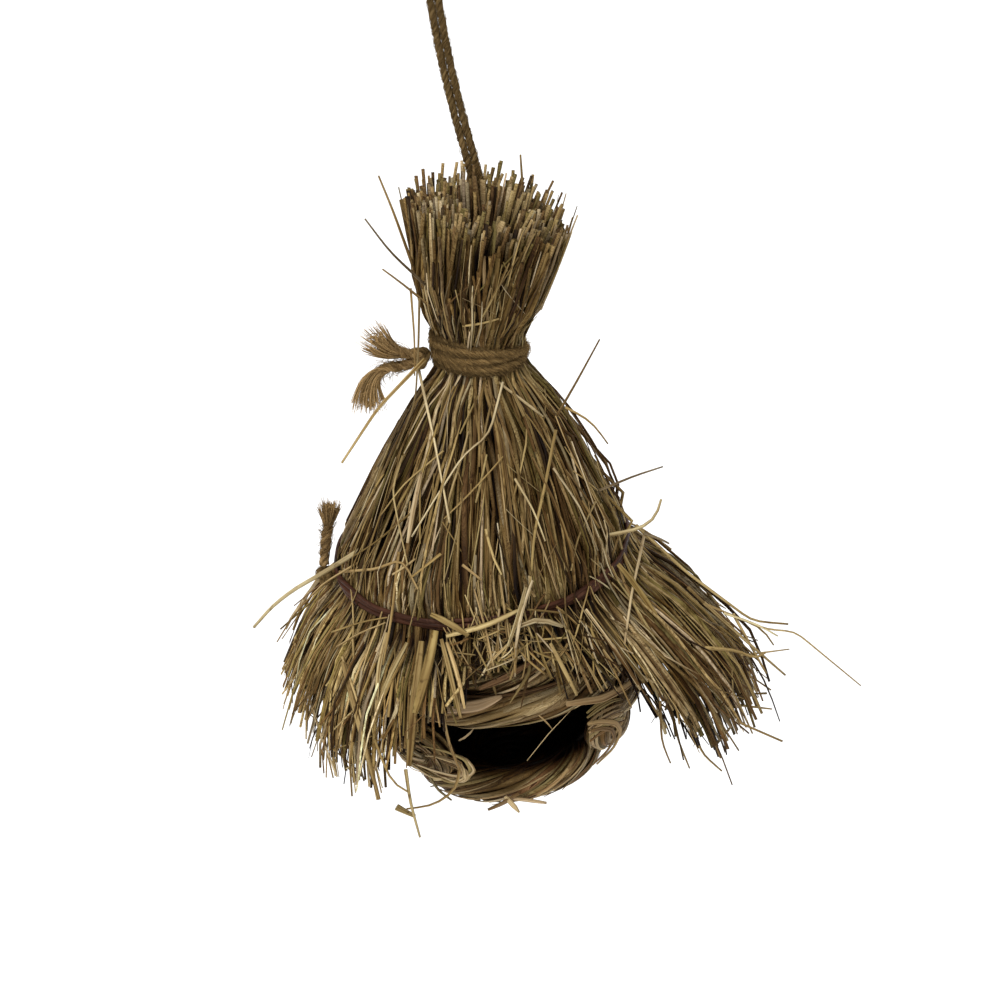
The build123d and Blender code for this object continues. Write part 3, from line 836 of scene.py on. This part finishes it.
def base_button():
    """The rope's start, wound into a small coil at the bottom."""
    rng, weave = start(350)
    angle = np.arange(24) * TURN / 24
    around = circle(angle)
    rope(weave, rng, BALL - (0, 0, 42.0) + 6.0 * around, around, 5.4, strands=9, pitch=60, loose=6)
    weave.build("rope_base_button_strands", LEAF, "rope_base_button")


def lacing():
    """Leaf lacing in the grooves between the rows."""
    rng, weave = start(360)
    for groove in range(7):
        is_open = 3 <= groove <= 5
        polar_deg = TOP_ROW + ROW_STEP * (groove + 0.5)
        line, outward = ring_line(polar_deg, LACING_R, rng, *(OPEN if is_open else ()), uneven=0.25)
        # painted shade: the lacing's leaf is painted half as bright, for the shade in the grooves
        weave.tube(line, 1.1, 0.8, tint=0.5 * pick_tint(rng, LEAF_TINTS), facing=outward, closed=not is_open)
    weave.build("row_lacing", LEAF, "row_seams")


# Leaf that lies on the front of the ball: tint, half width, then (X, height) along each
BALL_LEAVES = (
    ((0.46, 0.325, 0.19), 2.7, (-31, -136), (-18, -134), (-8, -131)),
    ((0.36, 0.215, 0.11), 1.5, (-17, -128), (-6, -125), (7, -121)),
    (PALE_TINTS[0][0], 0.8, (-14, -112), (-12, -122), (-10, -132)),
    (PALE_TINTS[1][0], 0.8, (3, -114), (5, -124), (1, -128), (-5, -134)),
    (STRAW_TINTS[3][0], 0.6, (9, -118), (3, -127), (-1, -137)),
    (PALE_TINTS[0][0], 1.2, (15, -112), (20, -126), (23, -137)),
    (PALE_TINTS[1][0], 0.6, (-13, -113), (-3, -120)), (STRAW_TINTS[1][0], 0.7, (9, -112), (16, -126)),
    (STRAW_TINTS[1][0], 0.6, (-30, -118), (-15, -124)), (STRAW_TINTS[0][0], 0.6, (-21, -114), (-16, -126)),
    (LEAF_TINTS[0][0], 1.3, (26, -151), (32, -153), (38, -158), (40, -165), (36, -172), (28, -176)),
    (LEAF_TINTS[2][0], 1.1, (27, -155), (32, -156.5), (36, -160), (37, -166), (33, -171), (26, -175)),
)
# Leaf that stands off the ball: half width, then (X, Y, height) along each
BALL_SPIKES = (
    (1.7, (18, -53, -139), (33, -45, -143), (44, -37, -143), (58, -26, -139)),
    (0.35, (6, -56, -141), (9, -55, -145), (11, -55, -149)),
    (0.2, (-1, -52, -164), (10, -48, -154), (22, -46, -144)),
    (2.0, (-6, -44, -184), (-13, -45, -187), (-20, -46, -189)),
    (1.7, (-12, -45, -184), (-9, -46, -188), (-7, -46, -192)),
    (1.9, (-12, -43, -186), (-4, -43, -188), (5, -43, -191)),
    (1.3, (-44, -34, -174), (-40, -37, -182), (-35, -38, -187)),
    (0.5, (-28, -53, -150), (-24, -54, -148), (-21, -53, -145)),
)


def loose_leaves():
    """Leaf that has come loose round the entrance: wraps, nested loops and torn ends."""
    rng, weave = start(370)

    def leaf(points, half, tint, blunt=0.5):
        line = bent_line(points, 2.0) + NECK
        reach = np.linspace(blunt, math.pi - 0.1, len(line))
        weave.tube(line, half * np.sin(reach) ** 0.6, 0.25 * half + 0.08, tint=tint,
                   facing=(line - BALL) / (1, 1, FLATTEN), fold=0.3, sides=8)

    for tint, half, *points in BALL_LEAVES:
        leaf([on_ball(*point, 1.2 + 0.3 * half) for point in points], half, tint)
    for half, *points in BALL_SPIKES:
        leaf(points, half, pick_tint(rng, LEAF_TINTS))
    for step in range(7):
        level = -145.5 - 2.3 * step + rng.uniform(-0.4, 0.4)
        points = [on_ball(x, level + rise, 0.9 + rng.uniform(0, 0.7))
                  for x, rise in ((26, -1.0), (31, 0.6), (37, 0.2), (42, -2.0))]
        leaf(points, rng.uniform(0.7, 1.1), pick_tint(rng, LEAF_TINTS, 0.3), 0.3)
    for step in range(8):
        size = 0.95 - 0.085 * step
        x_shift, z_shift = rng.gauss(-34, 1.3), rng.gauss(-165, 1.2)
        points = [on_ball(x_shift + x * size + rng.gauss(0, 0.8), z_shift + rise * size + rng.gauss(0, 0.7),
                          rng.uniform(-0.6, 1.8))
                  for x, rise in ((-22, -6), (-12, -9), (0, -10), (8, -7), (11, -1), (8, 6), (0, 9), (-12, 9))]
        leaf(points, rng.uniform(0.35, 0.95), pick_tint(rng, LEAF_TINTS, 0.35), 0.3)
    weave.build("loose_leaves", LEAF)


def shade_wall():
    """A near-black woven wall behind the rows, open at the entrance: painted shade for the dark inside of the
    nest.
    """
    weave = Weave()
    for polar_deg in range(8, 180, 6):
        is_open = 84 < polar_deg < 130
        line, outward = ring_line(polar_deg, SHADE_WALL_R, random.Random(380), *(OPEN if is_open else ()), step=5.0,
                                  uneven=0)
        # painted shade: the wall's colour is nearly black
        weave.tube(line, 3.1, 0.9, tint=(0.008, 0.006, 0.004), facing=outward, closed=not is_open)
    weave.build("nest_shade_wall", LEAF)


closed_rows()
side_rope()
base_button()
lacing()
loose_leaves()
shade_wall()


# ---- jute
def smooth_route(points):
    """Points close together on the smooth curve that a list of points steers, in millimetres."""
    curve = bpy.data.curves.new("route", "CURVE")
    curve.dimensions = "3D"
    spline = curve.splines.new("NURBS")
    spline.points.add(len(points) - 1)
    for knot, point in zip(spline.points, points):
        knot.co = (*point, 1)
    spline.order_u = 3
    spline.use_endpoint_u = True
    spline.resolution_u = 12
    holder = bpy.data.objects.new("route", curve)
    mesh = bpy.data.meshes.new_from_object(holder)
    line = np.array([vertex.co for vertex in mesh.vertices])
    bpy.data.objects.remove(holder)
    bpy.data.curves.remove(curve)
    bpy.data.meshes.remove(mesh)
    return line


def frame_along(line):
    """Two directions square to a line, that turn as little as they can along it."""
    ahead = unit(np.gradient(line, axis=0))
    sides = [unit(np.cross(ahead[0], (0.31, 0.53, 0.79)))]
    for direction in ahead[1:]:
        sides.append(unit(sides[-1] - direction * sides[-1].dot(direction)))
    side = np.array(sides)
    return side, np.cross(ahead, side)


def jute_strand(weave, rng, line, diameter, pitch=3.2, hairs=1.6, frayed=0.0, tint=JUTE_TINT, spread=1.0):
    """A twisted strand along a line: three plies in a helix, hairs that lift off it, and a frayed end."""
    line = resample(line, min(1.2, diameter * 0.35))
    side, up = frame_along(line)
    count = len(line)
    lengths = travelled(line)
    total = lengths[-1]
    radius = diameter / 2
    open_up = np.clip((lengths - (total - frayed)) / max(frayed, 1e-3), 0, 1) if frayed else lengths * 0
    start_turn = rng.uniform(0, TURN)
    shade = 1 + kinks(rng, lengths, 9, 0.10)
    for ply in range(3):
        angle = start_turn + TURN * ply / 3 + lengths / (diameter * pitch) * TURN
        radial = turned(side, up, angle)
        path = line + radial * (radius * 0.52 * (1 + open_up * 0.5))[:, None]
        size = radius * 0.56 * (1 + kinks(rng, lengths, 6, 0.06)) * (1 - 0.5 * open_up)
        weave.tube(path, size, tint=np.outer(shade * rng.uniform(0.85, 1.15), tint), sides=8, facing=radial,
                   ridges=0.07)
    for hair in range(int(total * hairs)):
        first = rng.randrange(max(1, count - 6))
        span = min(count - first, rng.randint(5, 14))
        picks = first + np.arange(span)
        lift = radius * (1.0 + rng.uniform(0.1, 0.75) * spread * np.linspace(0, 1, span) ** 2)
        angle = rng.uniform(0, TURN) + lengths[picks] / (diameter * pitch) * TURN * rng.uniform(0.6, 1.3)
        radial = turned(side[picks], up[picks], angle)
        weave.tube(line[picks] + radial * lift[:, None], rng.uniform(0.05, 0.11),
                   tint=np.array(tint) * rng.uniform(0.8, 1.9), sides=3, facing=radial)
    if frayed:
        begin = int(np.searchsorted(lengths, total - frayed))
        picks = np.arange(begin, count)
        reach = np.linspace(0, 1, len(picks))
        beyond = unit(line[-1] - line[-3])
        for fibre in range(150):
            angle = rng.uniform(0, TURN)
            away = radius * math.sqrt(rng.random())
            radial = side[picks] * math.cos(angle) + up[picks] * math.sin(angle)
            path = line[picks] + radial * (away * (0.8 + 1.1 * reach * spread))[:, None]
            path = path + beyond * (reach**2)[:, None] * rng.uniform(-2.5, 2.5)
            weave.tube(path, np.linspace(0.24, 0.1, len(picks)), sides=4, facing=radial,
                       tint=np.outer(rng.uniform(0.7, 1.5) * (1 + 0.5 * reach), tint))
    return line


def jute_knot(node, diameter, tilt, thicker=0.0, body="nest"):
    """A trefoil, the simplest knotted line, tied in jute where the CAD has a knot."""
    name = node + "_strands"
    middle, radius = box_middle(node), half_size(node) + thicker
    t = np.linspace(0, TURN, 90)
    line = np.c_[(2 + np.cos(3 * t)) * np.cos(2 * t), (2 + np.cos(3 * t)) * np.sin(2 * t), np.sin(3 * t) * 1.5]
    rotation = np.array(Matrix.Rotation(tilt[0], 3, "X") @ Matrix.Rotation(tilt[1], 3, "Z"))
    weave = Weave()
    jute_strand(weave, random.Random(len(name)), middle + line @ rotation.T * (radius - diameter / 2) / 3,
                diameter, hairs=1.0)
    # painted shade: a core of jute, painted darker, fills the middle of the knot
    core = np.linspace(-0.45, 0.45, 6)[:, None] * np.array([0, 0, radius]) + middle
    weave.tube(core, radius * 0.5, tint=np.array(JUTE_TINT) * 0.7, sides=8, facing=(1, 0, 0))
    return weave.build(name, JUTE, node, body=body)


# The routes of the hanging loop and its two strands, in millimetres
STRAND_D = 2.9
STRAND_GAP = 1.52
LOOP_SIDE = ((2.0, -34.7), (4.4, -25.0), (8.6, -15.2), (10.4, -4.9), (4.3, 1.45))
LEG_ROUTE = ((0.1, 0, -49.45), (0.65, 0.5, -67), (2.1, 1.4, -86), (4.2, 2.7, -104), (6.65, 4.2, -121),
             (8.85, 5.65, -135.6))
TAIL_ROUTE = ((9.4, 6.0, -139.0), (5.9, 3.5, -166), (2.9, 1.3, -192), (1.2, 0.2, -222), (-0.2, 0, -262))


def hanging_cord():
    """The loop that hangs on a hook, its knot, and the two strands down into the tuft."""
    knot = jute_knot("loop_knot", STRAND_D, (0.4, 0.3), body="knot")
    right = [(1.0, 0, -38.4), *[(x, 0, z) for x, z in LOOP_SIDE]]
    left = [(-x, y, z) for x, y, z in right]
    rng, weave = start(400)
    line = jute_strand(weave, rng, smooth_route(right + left[::-1]), STRAND_D, hairs=2.2, spread=0.7)
    loop = weave.build("hanging_loop_strand", JUTE, "hang_loop", body="hanger")
    for name, aside in (("left", -STRAND_GAP), ("right", STRAND_GAP)):
        route = smooth_route([(x + aside, y, z) for x, y, z in LEG_ROUTE])
        above = route[0] + np.array([-aside * 0.4, 0, 3.5])
        below = route[-1] + unit(route[-1] - route[-3]) * 4.5
        weave = Weave()
        line = jute_strand(weave, rng, np.concatenate([[below], route[::-1], [above]]), STRAND_D, hairs=2.4,
                           spread=0.7)
        leg = weave.build(f"hanging_strand_{name}", JUTE, f"cord_leg_{name}", body="cord")


def cord_in_straw():
    """The cord goes on down through the straw to the knot in the nest's crown."""
    rng, weave = start(410)
    line = smooth_route([*TAIL_ROUTE, box_middle("anchor_knot")])
    for aside in (-STRAND_GAP, STRAND_GAP):
        jute_strand(weave, rng, line + np.array([aside, 0, 0]), STRAND_D, hairs=0.6)
    weave.build("cord_in_straw", JUTE, "cord_tail")
    jute_knot("anchor_knot", 5.4, (0.2, 0.0))


def binding():
    """Jute wound tight round the neck: fanned out on the left, bunched on the right."""
    rng, weave = start(420)
    azimuth = np.linspace(0, TURN, 120)
    tilt = math.tan(math.radians(8))
    for turn in range(7):
        place = (turn - 3) / 3
        spread = 3.3 + 2.5 * (1 - np.cos(azimuth)) / 2 + rng.uniform(-0.5, 0.5) * np.sin(azimuth)
        height = place * spread - tilt * 18 * np.cos(azimuth) + 0.9 * np.sin(azimuth * 2 + turn) + 1.8
        radius = 17.9 + 1.1 * (turn % 2) * (1 + np.cos(azimuth)) / 2 + 0.25 * np.sin(azimuth * 3 + turn)
        line = NECK + circle(azimuth, radius, height)
        # painted light and shade: every other turn lies a little further out and is painted lighter, the turns
        # under them darker
        jute_strand(weave, rng, line, rng.uniform(1.9, 2.5), pitch=4.5, hairs=7.0, spread=1.7,
                    tint=np.array(JUTE_TINT) * ((0.9, 1.6)[turn % 2] * rng.uniform(0.85, 1.15)))
    weave.build("binding_turns", JUTE, "binding_turn_upper", "binding_turn_middle", "binding_turn_lower")
    jute_knot("binding_knot", 2.8, (1.2, 0.5), thicker=0.8)
    for name, points in (
        ("upper", ((-28.9, -9.4, 5.6), (-34.2, -11.8, 8.2), (-38.6, -13.8, 11.8), (-41.8, -15.4, 16.4))),
        ("lower", ((-29.4, -9.6, 0.2), (-36.2, -12, 2.2), (-42.8, -14.2, 0.4), (-46.4, -16, -5.4),
                   (-47, -17.2, -12))),
    ):
        weave = Weave()
        line = smooth_route([(-24, -7.4, 3.0), *points]) + NECK
        jute_strand(weave, rng, line, 4.2, pitch=4.0, hairs=3.4, frayed=17.0, tint=(0.40, 0.27, 0.125),
                    spread=2.6)
        weave.build(f"binding_end_{name}_strands", JUTE, f"binding_end_{name}")


def cane_band():
    """Three dark canes round the straw, tied with jute on the left."""
    rng = random.Random(430)
    azimuth = np.linspace(0, TURN, 180, endpoint=False)
    outward = circle(azimuth, height=0.3)
    for order, name in enumerate(("lower", "middle", "upper")):
        weave = Weave()
        radius = BAND_R + 0.35 * np.sin(azimuth * 7 + order * 2) + 0.3 * np.sin(azimuth * 13 + order)
        height = (order - 1) * 1.65 + BAND_RISE * np.sin(azimuth) + 0.35 * np.sin(azimuth * 5 + order * 1.3)
        line = NECK + BAND + circle(azimuth, radius, height)
        wide = 1.05 * (1 + 0.12 * np.sin(azimuth * 9 + order))
        shades = np.outer(1 + 0.2 * np.sin(azimuth * 11 + order), (0.054, 0.0192, 0.0092))
        weave.tube(line, wide, wide * 0.72, tint=shades, sides=10, facing=outward, ridges=0.06, closed=True)
        weave.build(f"cane_{name}", CANE, f"band_cane_{name}")
    jute_knot("tie_knot", 2.6, (0.9, 0.2), thicker=0.8)
    weave = Weave()
    line = smooth_route([(-75.4, -9.2, -83.4), (-74, -9, -74.6), (-71.2, -8.2, -66), (-69.6, -7, -57.4)]) + NECK
    jute_strand(weave, rng, line, 4.0, hairs=4.0, frayed=10.0, tint=(0.27, 0.178, 0.08), spread=1.7)
    weave.build("tie_end_strands", JUTE, "tie_end")


hanging_cord()
cord_in_straw()
binding()
cane_band()


# ---- stage, light
def stage():
    """A pale floor far below, a white sky and large soft lamps."""
    floor_mesh = bpy.data.meshes.new("floor")
    size, level = 15.0, cad_low[2] - 0.5
    corners = [(-size, -size, level), (size, -size, level), (size, size, level), (-size, size, level)]
    floor_mesh.from_pydata(corners, [], [(0, 1, 2, 3)])
    n = Nodes("floor")
    where = n.put("TexCoord", "Object", {})
    cloudy = n.noise(n.put("VectorMath", 0, {0: where, 1: (3.0, 3.0, 3.0)}, operation="MULTIPLY"))
    n.finish(n.ramp(cloudy, (0.3, grey(0.90)), (0.7, grey(0.93))), 0.95, cloudy, 0.02, 0.001, 0.1)
    floor_mesh.materials.append(n.material)
    add_object("floor", floor_mesh)
    world = bpy.data.worlds.new("studio")
    world.use_nodes = True
    sky = world.node_tree.nodes["Background"]
    sky.inputs["Color"].default_value = (1.0, 1.0, 1.0, 1)
    sky.inputs["Strength"].default_value = 0.62
    bpy.context.scene.world = world
    for name, offset, strength, softness in (
        ("key", (-0.5, -0.8, 1.15), 2.7, 30),
        ("back", (0.4, 1.0, 0.9), 0.7, 40),
    ):
        light = add_object(name, bpy.data.lights.new(name, "SUN"))
        light.data.energy = strength
        light.data.angle = math.radians(softness)
        light.rotation_euler = (-Vector(offset)).to_track_quat("-Z", "Y").to_euler()
    bpy.context.scene.view_settings.view_transform = "Standard"


stage()
